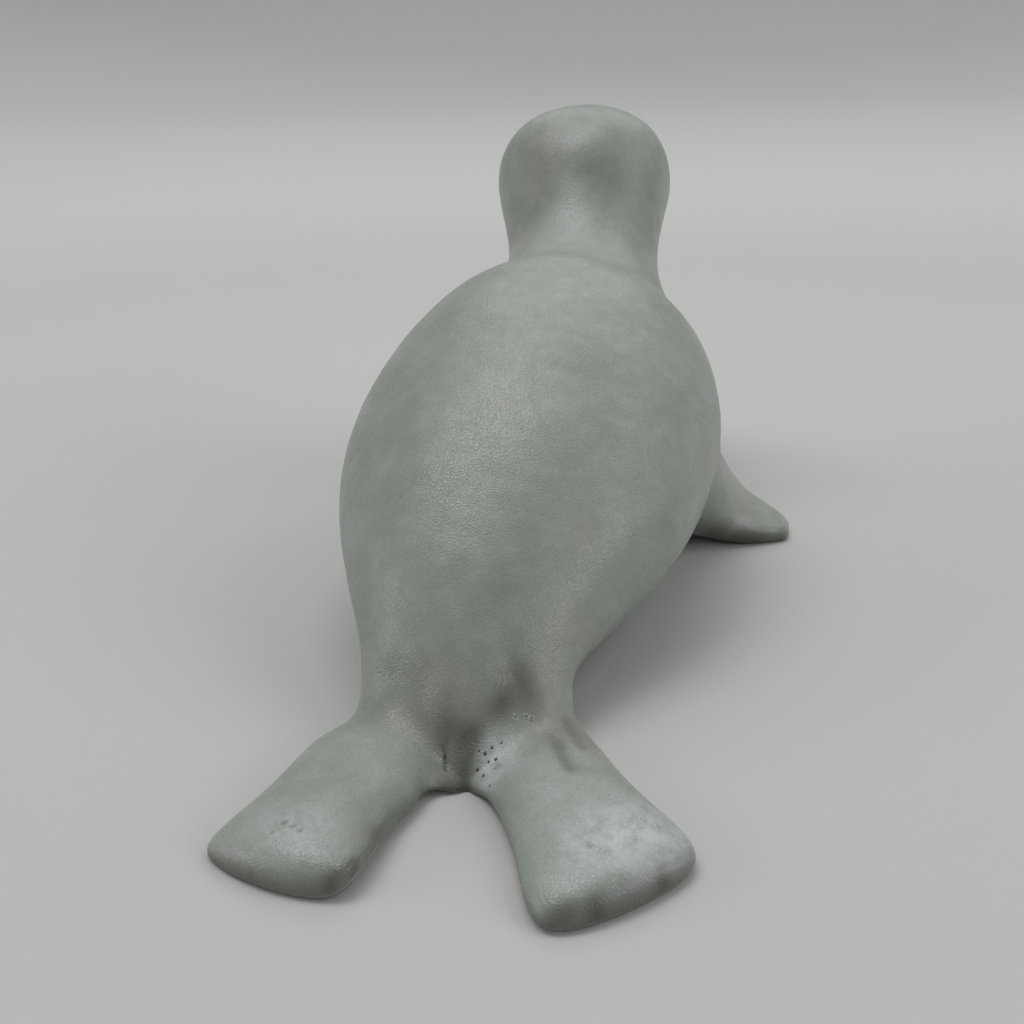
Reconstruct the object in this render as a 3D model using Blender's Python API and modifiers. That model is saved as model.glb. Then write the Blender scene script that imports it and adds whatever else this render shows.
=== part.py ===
"""Seal figurine, cast in one piece: a seal that lies on its belly and lifts its head.

The form starts as a coarse cage. Ten-cornered sections are skinned from the tail to the nose,
and the four flippers are lofted out of gaps left in that skin. The cage is bent a little to one
side at the tail and at the neck, smoothed by a Subdivision Surface, carved with the soft grooves
of the rump and the hollows of the eyes, and pressed flat where it would reach into the table.

The seal faces -Y, its left side is +X, and it stands on z = 0 with its middle over the origin.
In the tables below, lengths are in millimetres and angles in degrees. "Ahead" is measured along
the seal from the notch between its rear flippers, and "out" to the left of its middle line.
"""

import math
from typing import NamedTuple

import bmesh
import bpy
from mathutils import Matrix, Vector

MM = 0.001

# Overall size over the flippers and to the top of the head, and the size the tables are drawn at
FIGURE_WIDTH, DRAWN_WIDTH = 117.7, 117.7
FIGURE_LENGTH, DRAWN_LENGTH = 235.0, 235.0
FIGURE_HEIGHT, DRAWN_HEIGHT = 107.2, 107.2

# Driving dimensions: half the width at the places that set the outline
TAIL_HALF_WIDTH = 20.0
TORSO_HALF_WIDTH = 42.5
NECK_HALF_WIDTH = 20.0
HEAD_HALF_WIDTH = 25.0
MUZZLE_HALF_WIDTH = 12.5
NOSE_HALF_WIDTH = 7.5

# How far the underside of the cage reaches into the table before it is pressed flat
FLIPPER_SINK = 0.8

SMOOTH_LEVELS = 2
GLAZE_COLOUR = (0.235, 0.262, 0.232, 1.0)
GLAZE_ROUGHNESS = 0.48

# Where the corners of a section lie, in degrees, from the spine down the left side to the keel
LEFT_CORNERS = (90.0, 54.0, 18.0, -18.0, -54.0, -90.0)
SPINE, SHOULDER, FLANK, LOW_FLANK, BELLY, KEEL = range(6)

# The smooth skin lies inside its cage, so the rings of body and flippers are set wider by this
BODY_EXCESS = 6.0 / (4.0 + 2.0 * math.cos(math.radians(36.0)))
FLIPPER_EXCESS = 6.0 / 5.0


class Section(NamedTuple):
    """One ring of the body, in a plane that leans back from upright.

    The flanks of a swept section lie further ahead than its middle, and a section whose
    fullness is under 1 is squarer than an ellipse. The dip is a valley along its spine.
    """

    ahead: float
    height: float
    lean: float
    half_width: float
    above: float
    below: float
    sweep: float = 0.0
    fullness: float = 1.0
    dip: float = 0.0


class Blade(NamedTuple):
    """One ring of a flipper, with both its edges seen from above and its heights across.

    Its middle bows back, and the upper edge of its inner side is sharp where edge is near 1.
    """

    outer_out: float
    outer_ahead: float
    inner_out: float
    inner_ahead: float
    outer_rim: float
    crest: float
    inner_rim: float
    bow: float = 0.0
    edge: float = 0.0


class Bend(NamedTuple):
    """A bend of the whole figure to its left: where it starts, over what length, and how much."""

    ahead: float
    length: float
    angle: float


class Groove(NamedTuple):
    """A soft groove in the upper side, straight when seen from above."""

    start: tuple
    end: tuple
    half_width: float
    depth: float


class Hollow(NamedTuple):
    """A round hollow, about a point on or near the surface."""

    out: float
    ahead: float
    height: float
    radius: float
    depth: float


def between(first, last, share):
    """A width on the way from one driving dimension to the next."""
    return first + share * (last - first)


BODY = (
    Section(1.5, 4.0, 0.0, between(TAIL_HALF_WIDTH, TORSO_HALF_WIDTH, 0.08), 5.5, 4.5, sweep=12.0, dip=9.5),
    Section(6.0, 5.5, 0.0, TAIL_HALF_WIDTH, above=6.5, below=6.0, sweep=11.5, dip=4.0),
    Section(11.0, 7.5, 0.0, TAIL_HALF_WIDTH, above=8.5, below=8.5, sweep=10.5, dip=1.5),
    Section(19.0, 10.5, 0.0, TAIL_HALF_WIDTH, above=12.5, below=11.5, sweep=5.0),
    Section(30.0, 15.5, 0.0, between(TAIL_HALF_WIDTH, TORSO_HALF_WIDTH, 0.09), above=17.5, below=16.5),
    Section(42.0, 20.5, 0.0, between(TAIL_HALF_WIDTH, TORSO_HALF_WIDTH, 0.38), above=22.0, below=21.5),
    Section(55.0, 25.5, 0.0, between(TAIL_HALF_WIDTH, TORSO_HALF_WIDTH, 0.70), above=26.5, below=27.0),
    Section(71.0, 30.5, 0.0, between(TAIL_HALF_WIDTH, TORSO_HALF_WIDTH, 0.93), above=31.5, below=32.0),
    Section(89.0, 34.0, 3.0, TORSO_HALF_WIDTH, above=35.0, below=35.5),
    Section(105.0, 36.5, 6.0, between(NECK_HALF_WIDTH, TORSO_HALF_WIDTH, 0.97), above=37.0, below=38.0),
    Section(120.0, 40.0, 13.0, between(NECK_HALF_WIDTH, TORSO_HALF_WIDTH, 0.82), above=36.5, below=41.0),
    Section(135.0, 48.0, 30.0, between(NECK_HALF_WIDTH, TORSO_HALF_WIDTH, 0.40), above=28.5, below=38.0),
    Section(147.0, 59.0, 45.0, between(NECK_HALF_WIDTH, TORSO_HALF_WIDTH, 0.07), above=20.5, below=27.0),
    Section(156.0, 69.0, 50.0, NECK_HALF_WIDTH, above=19.0, below=20.5),
    Section(164.5, 79.0, 48.0, between(NECK_HALF_WIDTH, HEAD_HALF_WIDTH, 0.6), 23.0, 21.0, fullness=0.90),
    Section(173.0, 86.0, 30.0, HEAD_HALF_WIDTH, above=24.5, below=23.0, fullness=0.85),
    Section(182.5, 87.0, 10.0, between(MUZZLE_HALF_WIDTH, HEAD_HALF_WIDTH, 0.88), 21.0, 20.5, fullness=0.90),
    Section(190.5, 84.5, 2.0, between(MUZZLE_HALF_WIDTH, HEAD_HALF_WIDTH, 0.58), above=17.0, below=17.0),
    Section(197.0, 81.5, -4.0, between(MUZZLE_HALF_WIDTH, HEAD_HALF_WIDTH, 0.20), above=12.0, below=14.0),
    Section(202.5, 80.0, -8.0, MUZZLE_HALF_WIDTH, above=10.5, below=12.0, fullness=0.90),
    Section(206.5, 79.5, -10.0, NOSE_HALF_WIDTH, above=7.5, below=7.0),
)

LEFT_REAR_FLIPPER = (
    Blade(26.5, 9.5, 8.0, -0.5, outer_rim=6.5, crest=9.0, inner_rim=6.0),
    Blade(30.3, -0.5, 12.3, -9.5, outer_rim=5.5, crest=8.5, inner_rim=5.5, edge=0.2),
    Blade(34.5, -8.0, 14.5, -17.0, outer_rim=4.5, crest=8.0, inner_rim=5.5, bow=1.0, edge=0.5),
    Blade(38.2, -14.0, 16.3, -23.0, outer_rim=3.5, crest=7.5, inner_rim=5.8, bow=2.0, edge=0.6),
    Blade(39.0, -18.0, 19.5, -26.0, outer_rim=1.8, crest=4.0, inner_rim=3.5, bow=2.5, edge=0.6),
)
RIGHT_REAR_FLIPPER = (
    Blade(22.8, 8.0, 5.5, -1.5, outer_rim=6.5, crest=9.0, inner_rim=6.0),
    Blade(26.0, -1.0, 9.5, -12.0, outer_rim=6.0, crest=8.5, inner_rim=5.5),
    Blade(31.0, -8.0, 11.5, -20.5, outer_rim=5.5, crest=8.0, inner_rim=5.0, bow=0.5),
    Blade(35.5, -14.5, 13.5, -28.0, outer_rim=5.5, crest=7.5, inner_rim=5.0, bow=1.5),
    Blade(36.0, -19.5, 17.0, -31.5, outer_rim=3.8, crest=4.8, inner_rim=3.2, bow=2.0),
)
FRONT_FLIPPER = (
    Blade(44.0, 118.0, 44.0, 139.0, outer_rim=10.0, crest=13.0, inner_rim=10.0),
    Blade(50.5, 120.5, 50.5, 138.0, outer_rim=6.5, crest=8.0, inner_rim=6.5),
    Blade(55.5, 123.0, 55.5, 135.0, outer_rim=4.5, crest=5.5, inner_rim=4.5),
    Blade(59.0, 125.0, 59.0, 132.0, outer_rim=3.0, crest=3.5, inner_rim=3.0),
)
# The rings of the body that the front flippers leave from
FRONT_FLIPPER_RINGS = slice(9, 12)

# How sharp the fold is that runs down from the rump into the notch, where 1 is a plain crease
NOTCH_FOLD = 0.8

BENDS = (
    Bend(ahead=50.0, length=-45.0, angle=12.0),
    Bend(ahead=130.0, length=35.0, angle=8.5),
)

# The rump ends in a blunt wedge between the flippers, and the right one has a fold at its root
GROOVES = (
    Groove(start=(12.5, 17.5), end=(5.5, 6.5), half_width=3.0, depth=1.4),
    Groove(start=(-9.0, 15.5), end=(0.5, 6.5), half_width=3.0, depth=1.4),
    Groove(start=(-10.5, 13.0), end=(-11.5, 10.5), half_width=3.5, depth=1.0),
    Groove(start=(-15.5, 8.0), end=(-18.5, 1.0), half_width=3.0, depth=0.7),
)
EYE = Hollow(out=17.0, ahead=193.5, height=90.5, radius=7.5, depth=1.1)


def at(out, ahead, height=0.0):
    """A point of the unbent figure, from its place in the tables."""
    across = out * FIGURE_WIDTH / DRAWN_WIDTH
    along = ahead * FIGURE_LENGTH / DRAWN_LENGTH
    up = height * FIGURE_HEIGHT / DRAWN_HEIGHT
    return Vector((across, -along, up)) * MM


def bent(point):
    """Where a point of the figure comes to lie once its tail and neck are bent."""
    for bend in BENDS:
        pivot = at(0.0, bend.ahead)
        past = (pivot.y - point.y) / MM
        share = min(max(past / bend.length, 0.0), 1.0)
        turn = Matrix.Rotation(math.radians(share * bend.angle), 4, "Z")
        point = pivot + turn @ (point - pivot)
    return point


def section_corner(section, angle, side):
    """A corner of a section, on the seal's left (side 1) or right (side -1)."""
    rise = BODY_EXCESS * math.copysign(abs(math.sin(math.radians(angle))) ** section.fullness, angle)
    rise *= section.above if angle > 0.0 else section.below
    rise -= section.dip if angle == LEFT_CORNERS[SPINE] else 0.0
    reach = BODY_EXCESS * abs(math.cos(math.radians(angle))) ** section.fullness
    lean = math.radians(section.lean)
    return at(
        side * reach * section.half_width,
        section.ahead - rise * math.sin(lean) + section.sweep * reach,
        section.height + rise * math.cos(lean),
    )


def add_section(bm, section):
    """The ten corners of a section, from the spine round by the left side."""
    left = [section_corner(section, angle, 1.0) for angle in LEFT_CORNERS]
    right = [section_corner(section, angle, -1.0) for angle in LEFT_CORNERS[BELLY:SPINE:-1]]
    return [bm.verts.new(bent(corner)) for corner in left + right]


def corner_on(side, corner):
    """The place in a ring of a left side's corner, or of the same corner on the right side."""
    return corner if side > 0.0 else -corner % (2 * KEEL)


def pairs_across(ring, side):
    """Upper and lower corners of half a ring, from the flank to the middle."""
    pairs = ((FLANK, LOW_FLANK), (SHOULDER, BELLY), (SPINE, KEEL))
    return [(ring[corner_on(side, upper)], ring[corner_on(side, lower)]) for upper, lower in pairs]


def skin_body(bm, rings, open_spans):
    """Faces between neighbouring rings, apart from the spans that the front flippers leave from."""
    for span, (ring, following) in enumerate(zip(rings, rings[1:])):
        for corner in range(len(ring)):
            if (span, corner) in open_spans:
                continue
            beside = (corner + 1) % len(ring)
            bm.faces.new((ring[corner], ring[beside], following[beside], following[corner]))


def close_end(bm, pairs):
    """Faces across an end, between its upper and lower corners."""
    for (upper, lower), (upper_beside, lower_beside) in zip(pairs, pairs[1:]):
        bm.faces.new((upper, upper_beside, lower_beside, lower))


def add_blade(bm, blade, side):
    """The three pairs of corners, upper and lower, of one ring of a flipper."""
    outer = at(side * blade.outer_out, blade.outer_ahead)
    inner = at(side * blade.inner_out, blade.inner_ahead)
    middle = (outer + inner) / 2.0
    places = (
        middle + FLIPPER_EXCESS * (outer - middle),
        middle + at(0.0, -blade.bow),
        middle + FLIPPER_EXCESS * (inner - middle),
    )
    pairs = []
    for place, height in zip(places, (blade.outer_rim, blade.crest, blade.inner_rim)):
        upper = bm.verts.new(bent(place + at(0.0, 0.0, height)))
        lower = bm.verts.new(bent(place - at(0.0, 0.0, FLIPPER_SINK)))
        pairs.append((upper, lower))
    return pairs


def grow_flipper(bm, root, blades, side):
    """Loft a flipper from the three pairs of corners of its root to its closed tip."""
    sharpness = bm.edges.layers.float["crease_edge"]
    pairs = root
    for blade in blades:
        following = add_blade(bm, blade, side)
        loop = [upper for upper, _ in pairs] + [lower for _, lower in reversed(pairs)]
        next_loop = [upper for upper, _ in following] + [lower for _, lower in reversed(following)]
        for corner in range(len(loop)):
            beside = (corner + 1) % len(loop)
            bm.faces.new((loop[corner], loop[beside], next_loop[beside], next_loop[corner]))
        bm.edges.get((pairs[-1][0], following[-1][0]))[sharpness] = blade.edge
        pairs = following
    close_end(bm, pairs)


def build_cage():
    """The whole seal as one closed cage, bent to its pose."""
    bm = bmesh.new()
    sharpness = bm.edges.layers.float.new("crease_edge")
    rings = [add_section(bm, section) for section in BODY]
    flanks = (LOW_FLANK, corner_on(-1.0, BELLY))
    front_rings = range(len(rings))[FRONT_FLIPPER_RINGS]
    skin_body(bm, rings, {(span, corner) for span in front_rings[:-1] for corner in flanks})
    for side, rear_flipper in ((1.0, LEFT_REAR_FLIPPER), (-1.0, RIGHT_REAR_FLIPPER)):
        close_end(bm, pairs_across(rings[-1], side))
        grow_flipper(bm, pairs_across(rings[0], side), rear_flipper, side)
        front_root = [
            (ring[corner_on(side, LOW_FLANK)], ring[corner_on(side, BELLY)])
            for ring in rings[FRONT_FLIPPER_RINGS]
        ]
        grow_flipper(bm, front_root, FRONT_FLIPPER, side)
    fold = (rings[1][SPINE], rings[0][SPINE], rings[0][KEEL])
    for edge in zip(fold, fold[1:]):
        bm.edges.get(edge)[sharpness] = NOTCH_FOLD
    bmesh.ops.recalc_face_normals(bm, faces=bm.faces)
    cage = bpy.data.meshes.new("seal_cage")
    bm.to_mesh(cage)
    bm.free()
    return cage


def smoothed(cage):
    """The cage as a finely faceted, smooth skin."""
    helper = bpy.data.objects.new("seal_cage", cage)
    bpy.context.scene.collection.objects.link(helper)
    smooth = helper.modifiers.new("smooth_skin", "SUBSURF")
    smooth.levels = SMOOTH_LEVELS
    smooth.render_levels = SMOOTH_LEVELS
    skin = bpy.data.meshes.new_from_object(helper.evaluated_get(bpy.context.evaluated_depsgraph_get()))
    bpy.data.objects.remove(helper)
    skin.name = "seal"
    return skin


def distance_to_line(point, start, end):
    """How far a point lies from a stretch of line, seen from above."""
    line = (end - start).to_2d()
    along = min(max((point - start).to_2d().dot(line) / line.length_squared, 0.0), 1.0)
    return ((point - start).to_2d() - along * line).length


def carving_depth(point, normal):
    """How deep the grooves and hollows go at a point of the skin."""
    depth = 0.0
    for groove in GROOVES:
        start, end = (bent(at(*place)) for place in (groove.start, groove.end))
        distance = distance_to_line(point, start, end) / (groove.half_width * MM)
        depth += groove.depth * MM * math.exp(-distance * distance) * max(normal.z, 0.0)
    for side in (1.0, -1.0):
        centre = bent(at(side * EYE.out, EYE.ahead, EYE.height))
        distance = (point - centre).length / (EYE.radius * MM)
        depth += EYE.depth * MM * max(1.0 - distance * distance, 0.0) ** 2
    return depth


def carve(skin):
    """Push the skin in along its normals, by the depth of the carving."""
    pushes = [vert.normal * carving_depth(vert.co, vert.normal) for vert in skin.vertices]
    for vert, push in zip(skin.vertices, pushes):
        vert.co -= push


def press_flat(skin):
    """Flatten what reaches into the table, which leaves a flat foot to stand on."""
    for vert in skin.vertices:
        vert.co.z = max(vert.co.z, 0.0)


def centre_over_origin(skin):
    """Bring the middle of the figure's outline, seen from above, over the origin."""
    xs = [vert.co.x for vert in skin.vertices]
    ys = [vert.co.y for vert in skin.vertices]
    skin.transform(Matrix.Translation((-(min(xs) + max(xs)) / 2.0, -(min(ys) + max(ys)) / 2.0, 0.0)))


def glaze():
    """Matt grey-green glaze."""
    material = bpy.data.materials.new("glaze")
    material.use_nodes = True
    shader = material.node_tree.nodes["Principled BSDF"]
    shader.inputs["Base Color"].default_value = GLAZE_COLOUR
    shader.inputs["Roughness"].default_value = GLAZE_ROUGHNESS
    shader.inputs["Metallic"].default_value = 0.0
    return material


def main():
    for old in list(bpy.data.objects):
        bpy.data.objects.remove(old)
    collection = bpy.data.collections.new("seal_figurine")
    bpy.context.scene.collection.children.link(collection)
    skin = smoothed(build_cage())
    carve(skin)
    press_flat(skin)
    centre_over_origin(skin)
    skin.shade_smooth()
    skin.materials.append(glaze())
    collection.objects.link(bpy.data.objects.new("seal", skin))


main()
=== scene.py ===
"""Looks of the seal figurine: its finely modelled skin, its glaze, the light and the camera.

The skin grows out of the same coarse cage as the figurine's plain solid, and carries what is too
fine for that: pinholes, bubble marks and cracks of the glaze, folds, dents, eyes, nostrils and
mouth.

The seal faces -Y, its left side is +X, and it stands on z = 0. In the tables, lengths are in
millimetres and angles in degrees. "Ahead" is measured along the seal from the notch between its
rear flippers, and "out" to the left of its middle line.
"""

import math
from typing import NamedTuple

import bmesh
import bpy
import numpy as np
from mathutils import Matrix, Vector, noise


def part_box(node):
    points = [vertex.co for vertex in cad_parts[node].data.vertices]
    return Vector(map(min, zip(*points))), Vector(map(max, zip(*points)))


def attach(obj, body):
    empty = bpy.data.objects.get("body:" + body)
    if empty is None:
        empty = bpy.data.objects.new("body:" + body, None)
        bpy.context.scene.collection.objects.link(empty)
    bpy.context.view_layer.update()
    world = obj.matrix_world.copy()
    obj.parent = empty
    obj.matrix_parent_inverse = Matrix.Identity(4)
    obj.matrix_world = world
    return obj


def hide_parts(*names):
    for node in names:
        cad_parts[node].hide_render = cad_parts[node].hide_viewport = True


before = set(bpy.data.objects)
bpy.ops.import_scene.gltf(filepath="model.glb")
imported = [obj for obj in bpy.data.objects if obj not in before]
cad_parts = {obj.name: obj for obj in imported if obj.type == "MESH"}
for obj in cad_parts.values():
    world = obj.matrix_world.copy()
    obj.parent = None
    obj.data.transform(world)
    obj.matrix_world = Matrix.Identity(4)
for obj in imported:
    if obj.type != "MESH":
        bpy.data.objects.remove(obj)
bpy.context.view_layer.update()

MM = 0.001

# Overall size over the flippers and to the top of the head, and the size the tables are drawn at
FIGURE_WIDTH, DRAWN_WIDTH = 117.7, 117.7
FIGURE_LENGTH, DRAWN_LENGTH = 235.0, 235.0
FIGURE_HEIGHT, DRAWN_HEIGHT = 107.2, 107.2

# Driving dimensions: half the width at the places that set the outline
TAIL_HALF_WIDTH = 20.0
TORSO_HALF_WIDTH = 42.5
NECK_HALF_WIDTH = 20.0
HEAD_HALF_WIDTH = 25.0
MUZZLE_HALF_WIDTH = 12.5
NOSE_HALF_WIDTH = 7.5

# How far the underside of the cage reaches into the table before it is pressed flat
FLIPPER_SINK = 0.8

# How many times every face of the cage is split in four and smoothed
SMOOTH_LEVELS = 4

# Where the corners of a section lie, in degrees, from the spine down the left side to the keel
LEFT_CORNERS = (90.0, 54.0, 18.0, -18.0, -54.0, -90.0)
SPINE, SHOULDER, FLANK, LOW_FLANK, BELLY, KEEL = range(6)

# The smooth skin lies inside its cage, so the rings of body and flippers are set wider by this
BODY_EXCESS = 6.0 / (4.0 + 2.0 * math.cos(math.radians(36.0)))
FLIPPER_EXCESS = 6.0 / 5.0


class Section(NamedTuple):
    """One ring of the body, in a plane that leans back from upright.

    The flanks of a swept section lie further ahead than its middle, and a section whose
    fullness is under 1 is squarer than an ellipse. The dip is a valley along its spine.
    """

    ahead: float
    height: float
    lean: float
    half_width: float
    above: float
    below: float
    sweep: float = 0.0
    fullness: float = 1.0
    dip: float = 0.0


class Blade(NamedTuple):
    """One ring of a flipper, with both its edges seen from above and its heights across.

    Its middle bows back, and the upper edge of its inner side is sharp where edge is near 1.
    """

    outer_out: float
    outer_ahead: float
    inner_out: float
    inner_ahead: float
    outer_rim: float
    crest: float
    inner_rim: float
    bow: float = 0.0
    edge: float = 0.0


class Bend(NamedTuple):
    """A bend of the whole figure to its left: where it starts, over what length, and how much."""

    ahead: float
    length: float
    angle: float


class Groove(NamedTuple):
    """A soft groove in the upper side, straight when seen from above."""

    start: tuple
    end: tuple
    half_width: float
    depth: float


class Hollow(NamedTuple):
    """A round hollow, about a point on or near the surface."""

    out: float
    ahead: float
    height: float
    radius: float
    depth: float


class Pit(NamedTuple):
    """A round pit in the upper side, at a spot seen from above."""

    out: float
    ahead: float
    radius: float
    depth: float


class Patch(NamedTuple):
    """A soft-edged patch of other colour on the upper side, round when seen from above. Patches stand for
    paler glaze, painted highlights and painted shade.
    """

    out: float
    ahead: float
    radius: float
    strength: float


def between(first, last, share):
    """A width on the way from one driving dimension to the next."""
    return first + share * (last - first)


BODY = (
    Section(1.5, 4.0, 0.0, between(TAIL_HALF_WIDTH, TORSO_HALF_WIDTH, 0.08), 5.5, 4.5, sweep=12.0, dip=9.5),
    Section(6.0, 5.5, 0.0, TAIL_HALF_WIDTH, above=6.5, below=6.0, sweep=11.5, dip=4.0),
    Section(11.0, 7.5, 0.0, TAIL_HALF_WIDTH, above=8.5, below=8.5, sweep=10.5, dip=1.5),
    Section(19.0, 10.5, 0.0, TAIL_HALF_WIDTH, above=12.5, below=11.5, sweep=5.0),
    Section(30.0, 15.5, 0.0, between(TAIL_HALF_WIDTH, TORSO_HALF_WIDTH, 0.09), above=17.5, below=16.5),
    Section(42.0, 20.5, 0.0, between(TAIL_HALF_WIDTH, TORSO_HALF_WIDTH, 0.38), above=22.0, below=21.5),
    Section(55.0, 25.5, 0.0, between(TAIL_HALF_WIDTH, TORSO_HALF_WIDTH, 0.70), above=26.5, below=27.0),
    Section(71.0, 30.5, 0.0, between(TAIL_HALF_WIDTH, TORSO_HALF_WIDTH, 0.93), above=31.5, below=32.0),
    Section(89.0, 34.0, 3.0, TORSO_HALF_WIDTH, above=35.0, below=35.5),
    Section(105.0, 36.5, 6.0, between(NECK_HALF_WIDTH, TORSO_HALF_WIDTH, 0.97), above=37.0, below=38.0),
    Section(120.0, 40.0, 13.0, between(NECK_HALF_WIDTH, TORSO_HALF_WIDTH, 0.82), above=36.5, below=41.0),
    Section(135.0, 48.0, 30.0, between(NECK_HALF_WIDTH, TORSO_HALF_WIDTH, 0.40), above=28.5, below=38.0),
    Section(147.0, 59.0, 45.0, between(NECK_HALF_WIDTH, TORSO_HALF_WIDTH, 0.07), above=20.5, below=27.0),
    Section(156.0, 69.0, 50.0, NECK_HALF_WIDTH, above=19.0, below=20.5),
    Section(164.5, 79.0, 48.0, between(NECK_HALF_WIDTH, HEAD_HALF_WIDTH, 0.6), 23.0, 21.0, fullness=0.90),
    Section(173.0, 86.0, 30.0, HEAD_HALF_WIDTH, above=24.5, below=23.0, fullness=0.85),
    Section(182.5, 87.0, 10.0, between(MUZZLE_HALF_WIDTH, HEAD_HALF_WIDTH, 0.88), 21.0, 20.5, fullness=0.90),
    Section(190.5, 84.5, 2.0, between(MUZZLE_HALF_WIDTH, HEAD_HALF_WIDTH, 0.58), above=17.0, below=17.0),
    Section(197.0, 81.5, -4.0, between(MUZZLE_HALF_WIDTH, HEAD_HALF_WIDTH, 0.20), above=12.0, below=14.0),
    Section(202.5, 80.0, -8.0, MUZZLE_HALF_WIDTH, above=10.5, below=12.0, fullness=0.90),
    Section(206.5, 79.5, -10.0, NOSE_HALF_WIDTH, above=7.5, below=7.0),
)

LEFT_REAR_FLIPPER = (
    Blade(26.5, 9.5, 8.0, -0.5, outer_rim=6.5, crest=9.0, inner_rim=6.0),
    Blade(30.3, -0.5, 12.3, -9.5, outer_rim=5.5, crest=8.5, inner_rim=5.5, edge=0.2),
    Blade(34.5, -8.0, 14.5, -17.0, outer_rim=4.5, crest=8.0, inner_rim=5.5, bow=1.0, edge=0.5),
    Blade(38.2, -14.0, 16.3, -23.0, outer_rim=3.5, crest=7.5, inner_rim=5.8, bow=2.0, edge=0.6),
    Blade(39.0, -18.0, 19.5, -26.0, outer_rim=1.8, crest=4.0, inner_rim=3.5, bow=2.5, edge=0.6),
)
RIGHT_REAR_FLIPPER = (
    Blade(22.8, 8.0, 5.5, -1.5, outer_rim=6.5, crest=9.0, inner_rim=6.0),
    Blade(26.0, -1.0, 9.5, -12.0, outer_rim=6.0, crest=8.5, inner_rim=5.5),
    Blade(31.0, -8.0, 11.5, -20.5, outer_rim=5.5, crest=8.0, inner_rim=5.0, bow=0.5),
    Blade(35.5, -14.5, 13.5, -28.0, outer_rim=5.5, crest=7.5, inner_rim=5.0, bow=1.5),
    Blade(36.0, -19.5, 17.0, -31.5, outer_rim=3.8, crest=4.8, inner_rim=3.2, bow=2.0),
)
FRONT_FLIPPER = (
    Blade(44.0, 118.0, 44.0, 139.0, outer_rim=10.0, crest=13.0, inner_rim=10.0),
    Blade(50.5, 120.5, 50.5, 138.0, outer_rim=6.5, crest=8.0, inner_rim=6.5),
    Blade(55.5, 123.0, 55.5, 135.0, outer_rim=4.5, crest=5.5, inner_rim=4.5),
    Blade(59.0, 125.0, 59.0, 132.0, outer_rim=3.0, crest=3.5, inner_rim=3.0),
)
# The rings of the body that the front flippers leave from
FRONT_FLIPPER_RINGS = slice(9, 12)

# How sharp the fold is that runs down from the rump into the notch, where 1 is a plain crease
NOTCH_FOLD = 0.8

BENDS = (
    Bend(ahead=50.0, length=-45.0, angle=12.0),
    Bend(ahead=130.0, length=35.0, angle=8.5),
)

# The rump ends in a blunt wedge between the flippers, and the right one has a fold at its root
GROOVES = (
    Groove(start=(12.5, 17.5), end=(5.5, 6.5), half_width=3.0, depth=1.4),
    Groove(start=(-9.0, 15.5), end=(0.5, 6.5), half_width=3.0, depth=1.4),
    Groove(start=(-10.5, 13.0), end=(-11.5, 10.5), half_width=3.5, depth=1.0),
    Groove(start=(-15.5, 8.0), end=(-18.5, 1.0), half_width=3.0, depth=0.7),
)
EYE = Hollow(out=17.0, ahead=193.5, height=90.5, radius=7.5, depth=1.1)


def at(out, ahead, height=0.0):
    """A point of the unbent figure, from its place in the tables."""
    across = out * FIGURE_WIDTH / DRAWN_WIDTH
    along = ahead * FIGURE_LENGTH / DRAWN_LENGTH
    up = height * FIGURE_HEIGHT / DRAWN_HEIGHT
    return Vector((across, -along, up)) * MM


def bent(point):
    """Where a point of the figure comes to lie once its tail and neck are bent."""
    for bend in BENDS:
        pivot = at(0.0, bend.ahead)
        past = (pivot.y - point.y) / MM
        share = min(max(past / bend.length, 0.0), 1.0)
        turn = Matrix.Rotation(math.radians(share * bend.angle), 4, "Z")
        point = pivot + turn @ (point - pivot)
    return point


def section_corner(section, angle, side):
    """A corner of a section, on the seal's left (side 1) or right (side -1)."""
    rise = BODY_EXCESS * math.copysign(abs(math.sin(math.radians(angle))) ** section.fullness, angle)
    rise *= section.above if angle > 0.0 else section.below
    rise -= section.dip if angle == LEFT_CORNERS[SPINE] else 0.0
    reach = BODY_EXCESS * abs(math.cos(math.radians(angle))) ** section.fullness
    lean = math.radians(section.lean)
    return at(
        side * reach * section.half_width,
        section.ahead - rise * math.sin(lean) + section.sweep * reach,
        section.height + rise * math.cos(lean),
    )


def add_section(bm, section):
    """The ten corners of a section, from the spine round by the left side."""
    left = [section_corner(section, angle, 1.0) for angle in LEFT_CORNERS]
    right = [section_corner(section, angle, -1.0) for angle in LEFT_CORNERS[BELLY:SPINE:-1]]
    return [bm.verts.new(bent(corner)) for corner in left + right]


def corner_on(side, corner):
    """The place in a ring of a left side's corner, or of the same corner on the right side."""
    return corner if side > 0.0 else -corner % (2 * KEEL)


def pairs_across(ring, side):
    """Upper and lower corners of half a ring, from the flank to the middle."""
    pairs = ((FLANK, LOW_FLANK), (SHOULDER, BELLY), (SPINE, KEEL))
    return [(ring[corner_on(side, upper)], ring[corner_on(side, lower)]) for upper, lower in pairs]


def skin_body(bm, rings, open_spans):
    """Faces between neighbouring rings, apart from the spans that the front flippers leave from."""
    for span, (ring, following) in enumerate(zip(rings, rings[1:])):
        for corner in range(len(ring)):
            if (span, corner) in open_spans:
                continue
            beside = (corner + 1) % len(ring)
            bm.faces.new((ring[corner], ring[beside], following[beside], following[corner]))


def close_end(bm, pairs):
    """Faces across an end, between its upper and lower corners."""
    for (upper, lower), (upper_beside, lower_beside) in zip(pairs, pairs[1:]):
        bm.faces.new((upper, upper_beside, lower_beside, lower))


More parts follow.
